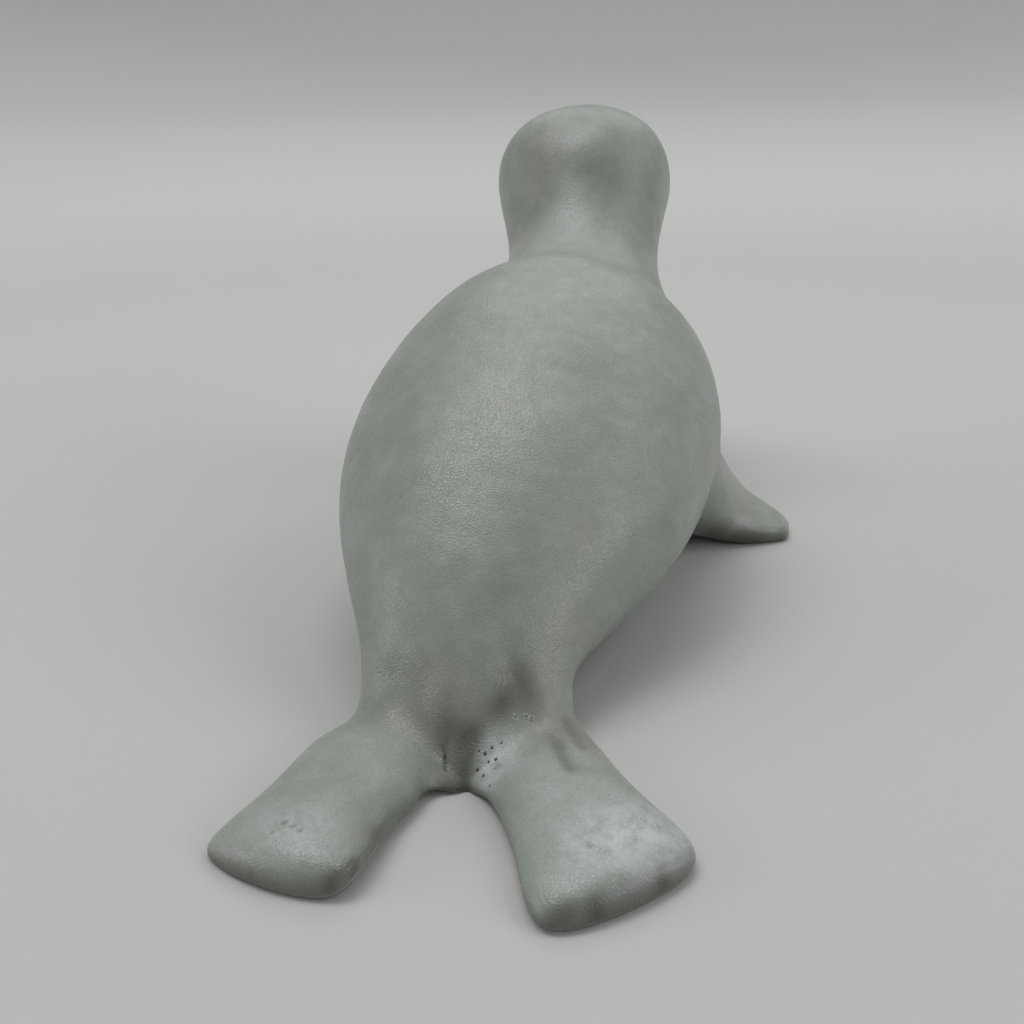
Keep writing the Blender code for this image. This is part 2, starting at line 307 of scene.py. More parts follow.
def add_blade(bm, blade, side):
    """The three pairs of corners, upper and lower, of one ring of a flipper."""
    outer = at(side * blade.outer_out, blade.outer_ahead)
    inner = at(side * blade.inner_out, blade.inner_ahead)
    middle = (outer + inner) / 2.0
    places = (
        middle + FLIPPER_EXCESS * (outer - middle),
        middle + at(0.0, -blade.bow),
        middle + FLIPPER_EXCESS * (inner - middle),
    )
    pairs = []
    for place, height in zip(places, (blade.outer_rim, blade.crest, blade.inner_rim)):
        upper = bm.verts.new(bent(place + at(0.0, 0.0, height)))
        lower = bm.verts.new(bent(place - at(0.0, 0.0, FLIPPER_SINK)))
        pairs.append((upper, lower))
    return pairs


def grow_flipper(bm, root, blades, side):
    """Loft a flipper from the three pairs of corners of its root to its closed tip."""
    sharpness = bm.edges.layers.float["crease_edge"]
    pairs = root
    for blade in blades:
        following = add_blade(bm, blade, side)
        loop = [upper for upper, _ in pairs] + [lower for _, lower in reversed(pairs)]
        next_loop = [upper for upper, _ in following] + [lower for _, lower in reversed(following)]
        for corner in range(len(loop)):
            beside = (corner + 1) % len(loop)
            bm.faces.new((loop[corner], loop[beside], next_loop[beside], next_loop[corner]))
        bm.edges.get((pairs[-1][0], following[-1][0]))[sharpness] = blade.edge
        pairs = following
    close_end(bm, pairs)


def build_cage():
    """The whole seal as one closed cage, bent to its pose."""
    bm = bmesh.new()
    sharpness = bm.edges.layers.float.new("crease_edge")
    rings = [add_section(bm, section) for section in BODY]
    flanks = (LOW_FLANK, corner_on(-1.0, BELLY))
    front_rings = range(len(rings))[FRONT_FLIPPER_RINGS]
    skin_body(bm, rings, {(span, corner) for span in front_rings[:-1] for corner in flanks})
    for side, rear_flipper in ((1.0, LEFT_REAR_FLIPPER), (-1.0, RIGHT_REAR_FLIPPER)):
        close_end(bm, pairs_across(rings[-1], side))
        grow_flipper(bm, pairs_across(rings[0], side), rear_flipper, side)
        front_root = [
            (ring[corner_on(side, LOW_FLANK)], ring[corner_on(side, BELLY)])
            for ring in rings[FRONT_FLIPPER_RINGS]
        ]
        grow_flipper(bm, front_root, FRONT_FLIPPER, side)
    fold = (rings[1][SPINE], rings[0][SPINE], rings[0][KEEL])
    for edge in zip(fold, fold[1:]):
        bm.edges.get(edge)[sharpness] = NOTCH_FOLD
    bmesh.ops.recalc_face_normals(bm, faces=bm.faces)
    cage = bpy.data.meshes.new("seal_cage")
    bm.to_mesh(cage)
    bm.free()
    return cage


def smoothed(cage):
    """The cage as a finely faceted, smooth skin."""
    helper = bpy.data.objects.new("seal_cage", cage)
    bpy.context.scene.collection.objects.link(helper)
    smooth = helper.modifiers.new("smooth_skin", "SUBSURF")
    smooth.levels = SMOOTH_LEVELS
    smooth.render_levels = SMOOTH_LEVELS
    skin = bpy.data.meshes.new_from_object(helper.evaluated_get(bpy.context.evaluated_depsgraph_get()))
    bpy.data.objects.remove(helper)
    skin.name = "seal"
    return skin


def points_of(mesh):
    """Corner points and normals of a mesh, in millimetres, as two arrays."""
    count = len(mesh.vertices)
    points = np.empty(count * 3)
    normals = np.empty(count * 3)
    mesh.vertices.foreach_get("co", points)
    mesh.vertices.foreach_get("normal", normals)
    return points.reshape(-1, 3) / MM, normals.reshape(-1, 3)


# Fine cracks in the glaze beside the notch
CRACKS = (
    Groove(start=(4.7, 6.2), end=(4.2, 4.9), half_width=0.28, depth=0.13),
    Groove(start=(4.3, 4.9), end=(3.9, 3.4), half_width=0.27, depth=0.27),
    Groove(start=(3.9, 6.9), end=(4.1, 5.6), half_width=0.22, depth=0.08),
)
# Folds at the root of the right flipper. A negative depth is a ridge, or fills a valley.
FOLDS = (
    Groove(start=(-15.4, 7.4), end=(-17.5, -1.0), half_width=0.9, depth=0.42),
    Groove(start=(-18.4, 11.5), end=(-19.8, 6.0), half_width=0.9, depth=0.34),
    Groove(start=(-15.2, 10.8), end=(-17.2, 5.1), half_width=0.8, depth=-0.22),
    Groove(start=(-14.6, 1.6), end=(-16.0, -2.3), half_width=0.8, depth=-0.20),
    Groove(start=(-2.0, 3.4), end=(-15.5, 9.6), half_width=2.6, depth=-0.55),
)

# Pinholes in the glaze about the notch, and a few faint ones on the root of the left flipper
PINHOLES = (
    Pit(-4.1, 5.9, radius=0.29, depth=0.45),
    Pit(-2.8, 5.1, radius=0.34, depth=0.50),
    Pit(-4.8, 4.2, radius=0.36, depth=0.50),
    Pit(-3.5, 4.1, radius=0.29, depth=0.45),
    Pit(-1.6, 3.3, radius=0.29, depth=0.45),
    Pit(-2.8, 1.9, radius=0.34, depth=0.50),
    Pit(-4.0, -1.3, radius=0.29, depth=0.41),
    Pit(-1.8, 5.3, radius=0.24, depth=0.36),
    Pit(-5.9, 6.6, radius=0.26, depth=0.36),
    Pit(-4.7, 2.3, radius=0.24, depth=0.36),
    Pit(8.5, 5.7, radius=0.22, depth=0.23),
    Pit(7.9, 0.9, radius=0.26, depth=0.23),
    Pit(9.3, 6.5, radius=0.20, depth=0.18),
    Pit(9.6, 3.1, radius=0.20, depth=0.18),
)
# Burst bubbles, each a shallow pit with a pale lip, and small dark dents on flippers and back
BUBBLES = (
    Pit(-9.0, 10.6, radius=0.32, depth=0.22),
    Pit(-11.0, 11.3, radius=0.34, depth=0.25),
    Pit(-11.9, 11.3, radius=0.30, depth=0.25),
    Pit(-11.5, 10.7, radius=0.26, depth=0.20),
    Pit(-19.0, 3.6, radius=0.34, depth=0.15),
)
DENTS = (
    Pit(-17.4, 52.3, radius=0.4, depth=0.08),
    Pit(23.8, -17.8, radius=0.8, depth=0.16),
    Pit(26.8, -15.9, radius=0.9, depth=0.20),
    Pit(25.3, -16.9, radius=0.8, depth=0.18),
    Pit(28.4, -17.9, radius=0.7, depth=0.14),
    Pit(-20.7, -19.7, radius=0.9, depth=0.16),
    Pit(15.0, 41.0, radius=0.5, depth=0.15),
    Pit(-29.8, 52.3, radius=0.4, depth=0.08),
    Pit(-13.8, 52.1, radius=0.4, depth=0.06),
)

# Where the glaze lies thin and pale on the tips and crests, partly a painted highlight on the upward
# faces of the rear flippers and the nape
PALE_PATCHES = (
    Patch(22.6, -17.5, radius=6.0, strength=0.55),
    Patch(31.0, -15.5, radius=5.0, strength=0.35),
    Patch(-29.5, -16.0, radius=8.5, strength=0.95),
    Patch(-20.5, -20.0, radius=7.0, strength=0.50),
    Patch(-15.0, -6.5, radius=7.0, strength=0.20),
    Patch(-3.9, 2.8, radius=5.0, strength=0.95),
    Patch(0.0, 133.0, radius=12.0, strength=0.20),
)
# Patches of painted shade on the lower back and rump, on the left rear flipper and at the root of the right
# one, and on the back and top of the head; and a dark blotch on the end of the right rear flipper
DARK_PATCHES = (
    Patch(-2.0, 22.0, radius=14.0, strength=0.10),
    Patch(-10.9, 14.6, radius=3.5, strength=0.16),
    Patch(-16.0, 14.0, radius=8.0, strength=0.25),
    Patch(19.0, -9.0, radius=9.0, strength=0.12),
    Patch(-17.0, -30.3, radius=2.2, strength=0.35),
    Patch(12.4, 151.5, radius=7.0, strength=0.24),
    Patch(-8.6, 150.0, radius=7.0, strength=0.20),
    Patch(-1.0, 167.0, radius=9.0, strength=0.26),
)
# Bands of painted shade in the notch, along the inner side of the left rear flipper and in the folds at
# the root of the right one, and of painted shade with darker glaze along the end rims of the rear
# flippers, each as deep as its colour is strong
DARK_BANDS = (
    Groove(start=(15.0, 13.0), end=(5.5, 8.0), half_width=4.2, depth=0.36),
    Groove(start=(-10.4, 14.6), end=(-7.1, 12.0), half_width=3.0, depth=0.36),
    Groove(start=(-7.1, 12.0), end=(-0.5, 6.5), half_width=2.0, depth=0.50),
    Groove(start=(-0.2, 6.5), end=(1.0, -1.0), half_width=2.0, depth=0.78),
    Groove(start=(3.5, 7.4), end=(3.4, -1.0), half_width=2.8, depth=0.48),
    Groove(start=(6.5, -2.0), end=(12.5, -15.0), half_width=5.0, depth=0.30),
    Groove(start=(12.5, -15.0), end=(17.5, -25.0), half_width=4.5, depth=0.24),
    Groove(start=(-15.2, 8.4), end=(-17.6, -1.4), half_width=1.3, depth=0.46),
    Groove(start=(-18.3, 12.8), end=(-19.9, 6.0), half_width=1.3, depth=0.40),
    Groove(start=(17.6, -25.6), end=(14.7, -23.0), half_width=1.1, depth=0.50),
    Groove(start=(14.7, -23.0), end=(12.6, -15.5), half_width=1.1, depth=0.28),
    Groove(start=(38.0, -18.2), end=(30.7, -22.9), half_width=1.0, depth=0.24),
    Groove(start=(30.7, -22.9), end=(19.0, -26.0), half_width=1.0, depth=0.22),
    Groove(start=(-15.2, -31.0), end=(-21.6, -29.0), half_width=1.6, depth=0.50),
    Groove(start=(-21.6, -29.0), end=(-31.6, -23.0), half_width=1.6, depth=0.50),
    Groove(start=(-31.6, -23.0), end=(-36.4, -17.5), half_width=1.4, depth=0.42),
)
# Painted shadow along the lower edge at the back of each front flipper, from its root to its tip
DARK_EDGES = (
    Hollow(out=37.5, ahead=111.5, height=7.0, radius=6.5, depth=0.55),
    Hollow(out=42.0, ahead=115.0, height=4.0, radius=6.5, depth=0.85),
    Hollow(out=47.5, ahead=118.3, height=2.0, radius=5.5, depth=0.95),
    Hollow(out=52.0, ahead=121.0, height=1.5, radius=5.0, depth=0.95),
    Hollow(out=56.5, ahead=124.0, height=1.5, radius=4.5, depth=0.80),
)

# Broad shaping, where a negative depth swells: the filled nape, the back of the head over it, the
# left side of the rump, and the wide arch of the notch
SHAPING = (
    Hollow(out=0.0, ahead=134.0, height=76.0, radius=19.0, depth=-2.2),
    Hollow(out=14.0, ahead=135.0, height=72.0, radius=15.0, depth=-1.6),
    Hollow(out=-16.0, ahead=135.0, height=70.0, radius=15.0, depth=-1.2),
    Hollow(out=0.0, ahead=150.5, height=97.0, radius=9.0, depth=-0.7),
    Hollow(out=12.0, ahead=19.0, height=16.0, radius=9.0, depth=-0.7),
    Hollow(out=6.3, ahead=-0.8, height=1.5, radius=5.0, depth=1.2),
)

# The muzzle: where its tip is, how far back the mouth runs from there, and how it is cut
NOSE_TIP = (0.0, 209.0, 78.0)
MOUTH_HEIGHT = 75.4
MOUTH_REACH = 15.0
MOUTH_HALF_WIDTH = 0.55
MOUTH_DEPTH = 0.7
NOSTRIL = Hollow(out=3.0, ahead=208.0, height=82.0, radius=1.3, depth=0.9)
EYEBALL_RADIUS = 2.9
EYEBALL_RISE = 1.2

# Slight unevenness of the whole skin: how wide the lumps are, and how high
BROAD_LUMPS, BROAD_LUMP_HEIGHT = 14.0, 0.16
SMALL_LUMPS, SMALL_LUMP_HEIGHT = 5.0, 0.06

# How dark the marks are: the glaze in cracks, pits, bubbles and mouth, and around the eyeballs
CRACK_DARKNESS = 3.2
PIT_DARKNESS = 2.2
BUBBLE_DARKNESS = 0.4
MOUTH_DARKNESS = 0.7
EYE_POOL = 0.55
# How pale the lip of a bubble is, and how high it stands as a share of the bubble's depth
LIP_STRENGTH = 0.50
LIP_RISE = 0.5

# Pale and dark patches fade out at this many times their radius
PATCH_REACH = 1.0 / 0.6

# Below this height the edges of figure and flippers turn in to the table, darker than the rest:
# painted shade near the table, partly the glaze breaking dark over the foot
FOOT_EDGE_HEIGHT = 6.0

# Marks are made in the upper side, where a normal rises by more than this
UPWARD = 0.2
# Dark bands reach just under the rims, and dark edges leave out what lies nearly flat
UNDER_RIM = -0.2
NEARLY_FLAT = 0.75

# How often an edge of the skin is cut near its fine marks, and near eyes, nostrils and mouth
FINE_CUTS = 3
FACE_CUTS = 1
# How far beyond a mark that reaches, how far about eye and nostril, and from what depth of a cut
MARK_MARGIN = 0.5
EYE_REACH = 6.0
NOSTRIL_REACH = 2.5
LEAST_DEPTH = 0.02


def place(*spot):
    """A spot of the tables as a point of the bent figure, in millimetres."""
    return np.array(bent(at(*spot))) / MM


def faded(distance):
    """A bell that is 1 in the middle and 0 from a distance of 1 outwards."""
    return np.maximum(1.0 - distance * distance, 0.0) ** 2


def from_above(spot, points):
    """How far each point of the skin lies from a spot, seen from above."""
    return np.linalg.norm(points[:, :2] - place(spot.out, spot.ahead)[:2], axis=1) / spot.radius


def beside(groove, points):
    """A bell across a groove at each point of the skin, 1 along its line, seen from above."""
    start, end = (place(*spot)[:2] for spot in (groove.start, groove.end))
    line = end - start
    along = np.clip((points[:, :2] - start) @ line / (line @ line), 0.0, 1.0)
    distance = np.linalg.norm(points[:, :2] - start - along[:, None] * line, axis=1) / groove.half_width
    return np.exp(-distance * distance)


def groove_depth(groove, points, normals):
    """How deep a groove goes at each point of the skin."""
    return groove.depth * beside(groove, points) * np.maximum(normals[:, 2], 0.0)


def pit_depth(pit, points, normals):
    """How deep a pit in the upper side goes at each point of the skin."""
    return pit.depth * faded(from_above(pit, points)) * (normals[:, 2] > UPWARD)


def hollow_depth(hollow, points, side=1.0):
    """How deep a round hollow goes at each point of the skin."""
    centre = place(side * hollow.out, hollow.ahead, hollow.height)
    return hollow.depth * faded(np.linalg.norm(points - centre, axis=1) / hollow.radius)


def off_eyeball(points, side):
    """How far each point of the skin lies from the middle of the eyeball, in its radii."""
    off_centre = np.linalg.norm(points - place(side * EYE.out, EYE.ahead, EYE.height), axis=1)
    on_skin = points[np.argmin(off_centre)]
    return np.linalg.norm(points - on_skin, axis=1) / EYEBALL_RADIUS


def eyeball_rise(points, side):
    """How far the eyeball stands out of its hollow at each point of the skin."""
    distance = off_eyeball(points, side)
    return EYEBALL_RISE * np.sqrt(np.maximum(1.0 - distance * distance, 0.0))


def mouth_depth(points):
    """How deep the mouth is cut at each point of the skin."""
    reach = np.linalg.norm(points[:, :2] - place(*NOSE_TIP)[:2], axis=1) / MOUTH_REACH
    height = MOUTH_HEIGHT * FIGURE_HEIGHT / DRAWN_HEIGHT
    above = (points[:, 2] - height) / MOUTH_HALF_WIDTH
    return MOUTH_DEPTH * np.exp(-above * above) * np.clip(4.0 * (1.0 - reach), 0.0, 1.0)


def lumps(points, size, seed):
    """Smooth random relief, about from -1 to 1, with lumps of the given size."""
    shift = Vector((seed * 7.3, seed * 3.1, seed * 5.7))
    return np.array([noise.noise(Vector(point) / size + shift) for point in points])


def split_near(bm, near, cuts):
    """Split the faces whose middles are near, and even out the corners this adds."""
    middles = np.array([face.calc_center_median() for face in bm.faces]) / MM
    normals = np.array([face.normal for face in bm.faces])
    chosen = near(middles, normals)
    edges = {edge for face, is_near in zip(bm.faces, chosen) if is_near for edge in face.edges}
    made = bmesh.ops.subdivide_edges(bm, edges=list(edges), cuts=cuts, use_grid_fill=True)
    corners = [item for item in made["geom_inner"] if isinstance(item, bmesh.types.BMVert)]
    for _ in range(4):
        bmesh.ops.smooth_vert(
            bm, verts=corners, factor=0.5, use_axis_x=True, use_axis_y=True, use_axis_z=True
        )


def near_marks(points, normals):
    """Which points are so near a pinhole, bubble, dent or crack that it needs finer faces."""
    near = np.zeros(len(points), bool)
    for pit in PINHOLES + BUBBLES + DENTS:
        near |= from_above(pit._replace(radius=pit.radius + MARK_MARGIN), points) < 1.0
    for crack in CRACKS:
        near |= groove_depth(crack._replace(depth=1.0), points, normals) > LEAST_DEPTH
    return near & (normals[:, 2] > 0.0)


def near_face(points, normals):
    """Which points are near an eye, a nostril or the mouth."""
    near = mouth_depth(points) > LEAST_DEPTH
    for side in (1.0, -1.0):
        near |= hollow_depth(EYE._replace(radius=EYE_REACH), points, side) > 0.0
        near |= hollow_depth(NOSTRIL._replace(radius=NOSTRIL_REACH), points, side) > 0.0
    return near


def refined(skin):
    """The skin with finer faces where its finest marks are."""
    bm = bmesh.new()
    bm.from_mesh(skin)
    bm.normal_update()
    split_near(bm, near_marks, FINE_CUTS)
    split_near(bm, near_face, FACE_CUTS)
    bm.to_mesh(skin)
    bm.free()
    skin.update()
    return skin


def carve(skin):
    """Push the skin in along its normals, by the depth of the carving."""
    points, normals = points_of(skin)
    depth = mouth_depth(points)
    for form in SHAPING:
        depth += hollow_depth(form, points)
    for groove in GROOVES + CRACKS + FOLDS:
        depth += groove_depth(groove, points, normals)
    for pit in PINHOLES + BUBBLES + DENTS:
        depth += pit_depth(pit, points, normals)
    for bubble in BUBBLES:
        lip = faded(2.0 * from_above(bubble, points) - 2.0) * (normals[:, 2] > UPWARD)
        depth -= LIP_RISE * bubble.depth * lip
    for side in (1.0, -1.0):
        depth += hollow_depth(EYE, points, side) - eyeball_rise(points, side)
        depth += hollow_depth(NOSTRIL, points, side)
    depth += BROAD_LUMP_HEIGHT * lumps(points, BROAD_LUMPS, 1)
    depth += SMALL_LUMP_HEIGHT * lumps(points, SMALL_LUMPS, 2)
    mark_glaze(skin, points, normals)
    points -= normals * depth[:, None]
    points[:, 2] = np.maximum(points[:, 2], 0.0)
    skin.vertices.foreach_set("co", (points * MM).ravel())
    skin.update()


def mark_glaze(skin, points, normals):
    """Write down, for the glaze, how pale, pooled, pitted and near the foot each point is, with the painted
    highlight, shade and shadow that these marks carry.
    """
    upper = np.clip(2.0 * normals[:, 2], 0.0, 1.0)
    # Pale glaze on tips and crests, partly a painted highlight on their upward faces
    pale_and_highlight = np.zeros(len(points))
    for patch in PALE_PATCHES:
        pale_and_highlight += patch.strength * faded(from_above(patch, points) / PATCH_REACH) * upper
    lips = np.zeros(len(points))
    for bubble in BUBBLES:
        lips += LIP_STRENGTH * faded(1.6 * from_above(bubble, points) - 1.6) * upper
    # Painted shade from the dark patches and bands, painted shadow from the dark edges, and glaze pooled
    # round the eyes
    pool_and_shade = np.zeros(len(points))
    for patch in DARK_PATCHES:
        pool_and_shade += patch.strength * faded(from_above(patch, points) / PATCH_REACH) * upper
    for band in DARK_BANDS:
        pool_and_shade += band.depth * beside(band, points) * (normals[:, 2] > UNDER_RIM)
    for side in (1.0, -1.0):
        for edge in DARK_EDGES:
            pool_and_shade += hollow_depth(edge, points, side) * (normals[:, 2] < NEARLY_FLAT)
        pool_and_shade += EYE_POOL * faded(2.5 * (off_eyeball(points, side) - 1.0))
    pits = MOUTH_DARKNESS * mouth_depth(points) / MOUTH_DEPTH
    for crack in CRACKS:
        pits += CRACK_DARKNESS * crack.depth * beside(crack, points) * upper
    for pit in PINHOLES:
        pits += PIT_DARKNESS * pit.depth * faded(0.9 * from_above(pit, points)) * upper
    for pit in DENTS:
        pits += PIT_DARKNESS * pit.depth * faded(from_above(pit, points)) * upper
    for bubble in BUBBLES:
        pits += BUBBLE_DARKNESS * faded(2.0 * from_above(bubble, points)) * upper
    # Painted shade near the table on the low side walls, partly the glaze breaking over the foot
    foot_break_and_shade = np.clip(1.3 * (1.0 - points[:, 2] / FOOT_EDGE_HEIGHT), 0.0, 1.0)
    foot_break_and_shade *= np.clip(1.4 - 2.2 * normals[:, 2], 0.0, 1.0)
    marks = {"pale_and_highlight": pale_and_highlight, "lips": lips, "pool_and_shade": pool_and_shade, "pits": pits, "foot_break_and_shade": foot_break_and_shade}
    for name, values in marks.items():
        attribute = skin.attributes.new(name, "FLOAT", "POINT")
        attribute.data.foreach_set("value", np.clip(values, 0.0, 1.0))


def set_over_solid(skin):
    """Bring the skin to where the plain solid stands, and within its size."""
    points, _ = points_of(skin)
    lowest, highest = (np.array(corner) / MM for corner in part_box("seal"))
    share = np.minimum((highest - lowest) / (points.max(0) - points.min(0)), 1.0)
    middle = (points.min(0) + points.max(0)) / 2.0
    points = (points - middle) * share + (lowest + highest) / 2.0
    points[:, 2] -= points[:, 2].min()
    skin.vertices.foreach_set("co", (points * MM).ravel())
    skin.update()


# Colours of the glaze: its darker and its lighter clouds, a browner tint, and where it lies pale, pools,
# breaks dark over the foot edge, or leaves a pit; the pale colour also paints highlights, and the pooled
# and foot colours also paint shade. Its grain is rougher where it is low.
DARK_GLAZE = (0.232, 0.259, 0.230)
LIGHT_GLAZE = (0.275, 0.302, 0.274)
BROWN_GLAZE = (0.270, 0.268, 0.240)
PALE_GLAZE_AND_HIGHLIGHT = (0.44, 0.47, 0.46)
POOLED_GLAZE_AND_SHADE = (0.085, 0.090, 0.072)
FOOT_GLAZE_AND_SHADE = (0.090, 0.085, 0.075)
PIT_GLAZE = (0.012, 0.012, 0.010)
SMOOTH_GLAZE, ROUGH_GLAZE = 0.28, 0.48


class Painter:
    """Builds up the colour of a material in its node tree, layer by layer."""

    def __init__(self, material):
        self.tree = material.node_tree
        self.place = self.tree.nodes.new("ShaderNodeTexCoord").outputs["Object"]

    def noise(self, size, seed, detail=2.0):
        """Smooth noise about 0.5, with lumps of the given size in millimetres."""
        node = self.tree.nodes.new("ShaderNodeTexNoise")
        node.noise_dimensions = "4D"
        node.inputs["Scale"].default_value = 1.0 / (size * MM)
        node.inputs["Detail"].default_value = detail
        node.inputs["W"].default_value = seed
        self.tree.links.new(self.place, node.inputs["Vector"])
        return node.outputs["Fac"]

    def ramp(self, value, low, high, bottom=0.0, top=1.0):
        """The value, spread from bottom at low to top at high."""
        node = self.tree.nodes.new("ShaderNodeMapRange")
        node.interpolation_type = "SMOOTHSTEP"
        node.inputs["From Min"].default_value = low
        node.inputs["From Max"].default_value = high
        node.inputs["To Min"].default_value = bottom
        node.inputs["To Max"].default_value = top
        self.tree.links.new(value, node.inputs["Value"])
        return node.outputs["Result"]

    def product(self, first, second):
        """Two values multiplied."""
        node = self.tree.nodes.new("ShaderNodeMath")
        node.operation = "MULTIPLY"
        self.tree.links.new(first, node.inputs[0])
        self.tree.links.new(second, node.inputs[1])
        return node.outputs["Value"]

    def mark(self, name):
        """What is written down on the mesh under a name."""
        node = self.tree.nodes.new("ShaderNodeAttribute")
        node.attribute_name = name
        return node.outputs["Fac"]

    def layer(self, under, over, share):
        """One colour over another, where the share says."""
        node = self.tree.nodes.new("ShaderNodeMix")
        node.data_type = "RGBA"
        _, colour_under, colour_over = (s for s in node.inputs if s.enabled)
        self.tree.links.new(share, node.inputs["Factor"])
        if isinstance(under, tuple):
            colour_under.default_value = (*under, 1.0)
        else:
            self.tree.links.new(under, colour_under)
        colour_over.default_value = (*over, 1.0)
        return next(s for s in node.outputs if s.enabled)

    def bump(self, height, depth, under=None):
        """Relief of the given depth in millimetres, on top of other relief."""
        node = self.tree.nodes.new("ShaderNodeBump")
        node.inputs["Distance"].default_value = depth * MM
        self.tree.links.new(height, node.inputs["Height"])
        if under is not None:
            self.tree.links.new(under, node.inputs["Normal"])
        return node.outputs["Normal"]


def glaze_material():
    """Satin grey-green glaze, cloudy and grainy, with pale and pooled places, painted highlights and painted
    shade.
    """
    material = bpy.data.materials.new("satin_grey_green_glaze")
    material.use_nodes = True
    shader = material.node_tree.nodes["Principled BSDF"]
    painter = Painter(material)
    grain = painter.noise(size=0.36, seed=1.0, detail=1.0)
    grit = painter.noise(size=1.1, seed=2.0, detail=3.0)
    clouds = painter.noise(size=13.0, seed=3.0, detail=4.0)
    mottle = painter.noise(size=4.0, seed=6.0, detail=5.0)
    specks = painter.ramp(grain, 0.60, 0.72)
    broken = painter.ramp(painter.noise(size=2.6, seed=5.0, detail=5.0), 0.25, 0.65)

    colour = painter.layer(DARK_GLAZE, LIGHT_GLAZE, painter.ramp(clouds, 0.30, 0.70))
    tint = painter.noise(size=22.0, seed=4.0, detail=3.0)
    colour = painter.layer(colour, BROWN_GLAZE, painter.ramp(tint, 0.50, 0.72, top=0.55))
    colour = painter.layer(colour, PALE_GLAZE_AND_HIGHLIGHT, painter.ramp(mottle, 0.48, 0.68, top=0.14))
    colour = painter.layer(colour, POOLED_GLAZE_AND_SHADE, painter.ramp(mottle, 0.48, 0.30, top=0.09))
    # Paler glaze on tips and crests, partly a painted highlight on the rear flippers and the nape
    colour = painter.layer(colour, PALE_GLAZE_AND_HIGHLIGHT, painter.product(painter.mark("pale_and_highlight"), broken))
    colour = painter.layer(colour, PALE_GLAZE_AND_HIGHLIGHT, painter.ramp(grain, 0.54, 0.72, top=0.17))
    colour = painter.layer(colour, POOLED_GLAZE_AND_SHADE, painter.ramp(grain, 0.46, 0.28, top=0.12))
    colour = painter.layer(colour, DARK_GLAZE, painter.ramp(grit, 0.45, 0.30, top=0.30))
    # Pale specks in the same places, partly painted highlight
    colour = painter.layer(colour, PALE_GLAZE_AND_HIGHLIGHT, painter.product(painter.mark("pale_and_highlight"), specks))
    # Painted shade and shadow in the notch, the folds, along the rims and on the head, and glaze pooled
    # round the eyes
    colour = painter.layer(colour, POOLED_GLAZE_AND_SHADE, painter.mark("pool_and_shade"))
    # Dark foot edge: painted shade near the table, partly the glaze breaking over the foot
    foot_break_and_shade = painter.product(painter.mark("foot_break_and_shade"), painter.ramp(tint, 0.00, 0.60, top=0.52))
    colour = painter.layer(colour, FOOT_GLAZE_AND_SHADE, foot_break_and_shade)
    lips = painter.product(painter.mark("lips"), painter.ramp(grain, 0.42, 0.60))
    colour = painter.layer(colour, PALE_GLAZE_AND_HIGHLIGHT, lips)
    colour = painter.layer(colour, PIT_GLAZE, painter.mark("pits"))
    material.node_tree.links.new(colour, shader.inputs["Base Color"])

    relief = painter.bump(grain, depth=0.11, under=painter.bump(grit, depth=0.03))
    material.node_tree.links.new(relief, shader.inputs["Normal"])
    gloss = painter.ramp(grain, 0.38, 0.62, bottom=ROUGH_GLAZE, top=SMOOTH_GLAZE)
    material.node_tree.links.new(gloss, shader.inputs["Roughness"])
    return material


def build_seal():
    """The detailed seal, in place of the plain solid."""
    skin = refined(smoothed(build_cage()))
    carve(skin)
    set_over_solid(skin)
    skin.shade_smooth()
    skin.materials.append(glaze_material())
    seal = bpy.data.objects.new("glazed_seal", skin)
    bpy.context.scene.collection.objects.link(seal)
    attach(seal, "root")
    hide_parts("seal")


# The floor and backdrop: their colours, and how far from the middle one turns into the other
FLOOR_COLOUR = (0.50, 0.50, 0.49)
BACKDROP_COLOUR = (0.84, 0.84, 0.84)
BACKDROP_START = 0.4
BACKDROP_REACH = 1.5
# Radius and height of the rings that the floor rises by, in metres, and how many sides they have
FLOOR_RINGS = (
    (0.8, 0.0), (1.15, 0.02), (1.5, 0.09), (1.85, 0.26), (2.1, 0.55), (2.3, 1.1), (2.35, 2.2)
)
FLOOR_SIDES = 96


def backdrop_material():
    """Pale and plain, and paler where the floor rises to the backdrop, far from the lamps."""
    material = bpy.data.materials.new("pale_backdrop")
    material.use_nodes = True
    tree = material.node_tree
    shader = tree.nodes["Principled BSDF"]
    shader.inputs["Roughness"].default_value = 0.8
    shader.inputs["Specular IOR Level"].default_value = 0.2
    painter = Painter(material)
    distance = tree.nodes.new("ShaderNodeVectorMath")
    distance.operation = "LENGTH"
    tree.links.new(painter.place, distance.inputs[0])
    share = painter.ramp(distance.outputs["Value"], BACKDROP_START, BACKDROP_REACH)
    tree.links.new(painter.layer(FLOOR_COLOUR, BACKDROP_COLOUR, share), shader.inputs["Base Color"])
    return material


def build_stage():
    """A pale floor that curves up into a backdrop on every side."""
    bm = bmesh.new()
    centre = bm.verts.new((0.0, 0.0, 0.0))
    previous = None
    for radius, height in FLOOR_RINGS:
        ring = []
        for spoke in range(FLOOR_SIDES):
            angle = 2.0 * math.pi * spoke / FLOOR_SIDES
            ring.append(bm.verts.new((radius * math.cos(angle), radius * math.sin(angle), height)))
        for spoke in range(FLOOR_SIDES):
            following = (spoke + 1) % FLOOR_SIDES
            if previous is None:
                bm.faces.new((centre, ring[spoke], ring[following]))
            else:
                bm.faces.new((previous[spoke], ring[spoke], ring[following], previous[following]))
        previous = ring
    mesh = bpy.data.meshes.new("studio_floor")
    bm.to_mesh(mesh)
    bm.free()
    mesh.shade_smooth()
    mesh.materials.append(backdrop_material())
    floor = bpy.data.objects.new("studio_floor", mesh)
    bpy.context.scene.collection.objects.link(floor)


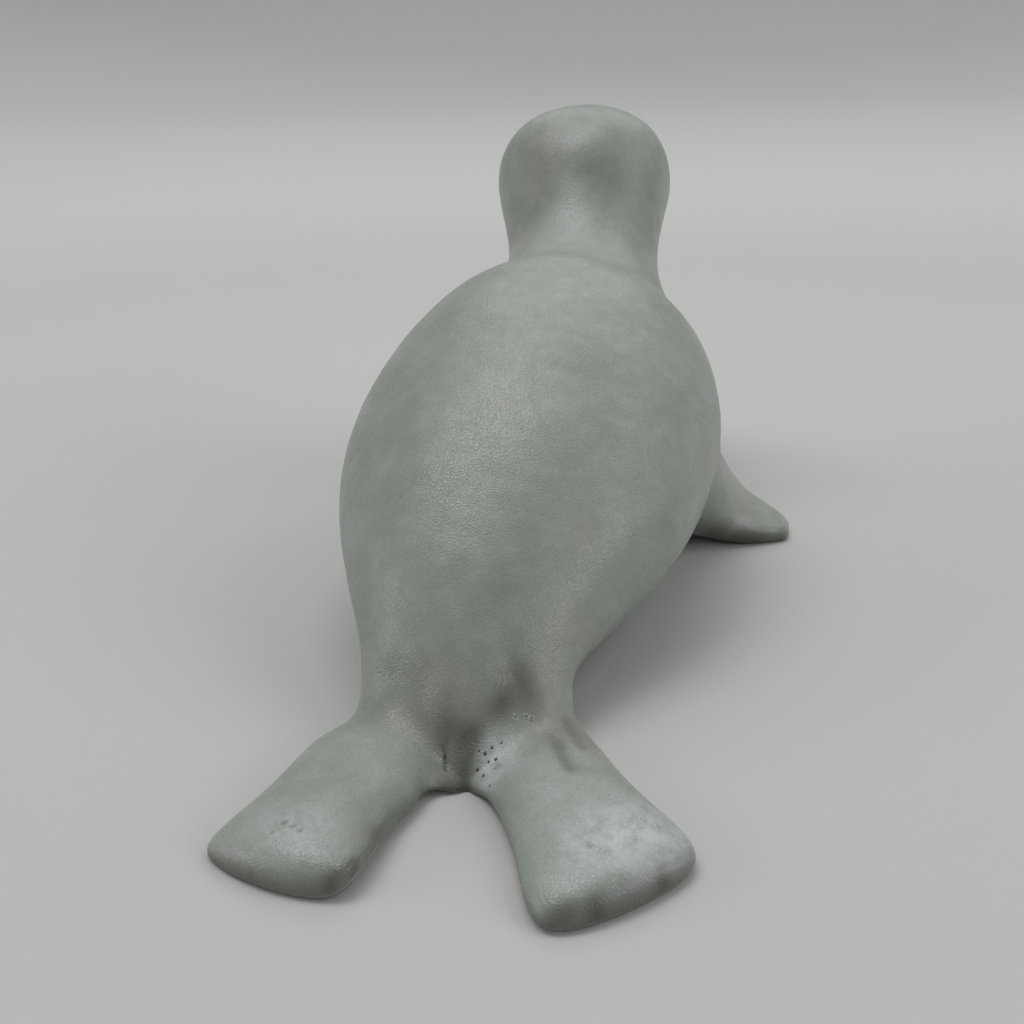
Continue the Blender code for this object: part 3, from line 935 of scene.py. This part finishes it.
# The camera: its lens, how high it stands, and how it is pitched, rolled and headed
SENSOR_WIDTH = 36.0
IMAGE_WIDTH = 1024.0
FOCAL_PIXELS = 1060.0
CAMERA_HEIGHT = 112.0
CAMERA_PITCH = 21.8
CAMERA_ROLL = -1.4
SEAL_HEADING = 16.2
# The notch between the rear flippers, and where it lies to the right of the camera and beyond it
NOTCH = (-0.006, 89.007)
NOTCH_RIGHT = -19.1
NOTCH_AWAY = 151.5


def set_camera():
    """The camera behind and above the seal, looking down along its back."""
    heading = math.radians(SEAL_HEADING)
    ahead = -NOTCH_RIGHT * math.sin(heading) - NOTCH_AWAY * math.cos(heading)
    side = -NOTCH_RIGHT * math.cos(heading) + NOTCH_AWAY * math.sin(heading)
    location = Vector((NOTCH[0] - side, NOTCH[1] - ahead, CAMERA_HEIGHT)) * MM
    data = bpy.data.cameras.new("camera")
    data.sensor_width = SENSOR_WIDTH
    data.lens = SENSOR_WIDTH * FOCAL_PIXELS / IMAGE_WIDTH
    data.clip_start = 0.01
    camera = bpy.data.objects.new("camera", data)
    bpy.context.scene.collection.objects.link(camera)
    turn = Matrix.Rotation(math.pi + heading, 4, "Z")
    pitch = Matrix.Rotation(math.radians(90.0 - CAMERA_PITCH), 4, "X")
    roll = Matrix.Rotation(math.radians(CAMERA_ROLL), 4, "Z")
    camera.matrix_world = Matrix.Translation(location) @ turn @ pitch @ roll
    bpy.context.scene.camera = camera


def add_area_light(name, location, target, size, power):
    """A soft rectangular lamp, aimed at a point. Location, target and size are in metres."""
    data = bpy.data.lights.new(name, "AREA")
    data.shape = "RECTANGLE"
    data.size, data.size_y = size
    data.energy = power
    lamp = bpy.data.objects.new(name, data)
    lamp.location = location
    direction = Vector(target) - Vector(location)
    lamp.rotation_euler = direction.to_track_quat("-Z", "Y").to_euler()
    bpy.context.scene.collection.objects.link(lamp)


def light_scene():
    """Soft light from above and from beyond the head, lower lamps on both sides, and a dim surround."""
    add_area_light("overhead_softbox", (0.12, -0.30, 1.32), (0.0, 0.0, 0.04), (0.8, 0.7), 4.1)
    add_area_light("left_high_softbox", (0.49, 0.01, 1.24), (0.0, 0.0, 0.04), (0.35, 0.7), 4.5)
    add_area_light("softbox_beyond", (0.10, -0.96, 0.91), (0.0, 0.0, 0.04), (1.2, 0.5), 3.0)
    add_area_light("right_softbox", (-0.88, -0.26, 0.96), (0.0, 0.0, 0.04), (0.6, 0.6), 2.2)
    add_area_light("right_low_fill", (-1.05, 0.20, 0.44), (0.0, 0.0, 0.03), (0.8, 0.26), 2.8)
    add_area_light("left_low_fill", (1.10, 0.44, 0.46), (0.0, 0.0, 0.04), (0.6, 0.26), 2.4)
    world = bpy.data.worlds.new("surround")
    world.use_nodes = True
    background = world.node_tree.nodes["Background"]
    background.inputs["Color"].default_value = (0.9, 0.9, 0.9, 1.0)
    background.inputs["Strength"].default_value = 0.24
    bpy.context.scene.world = world
    bpy.context.scene.view_settings.view_transform = "Standard"


build_seal()
build_stage()
set_camera()
light_scene()
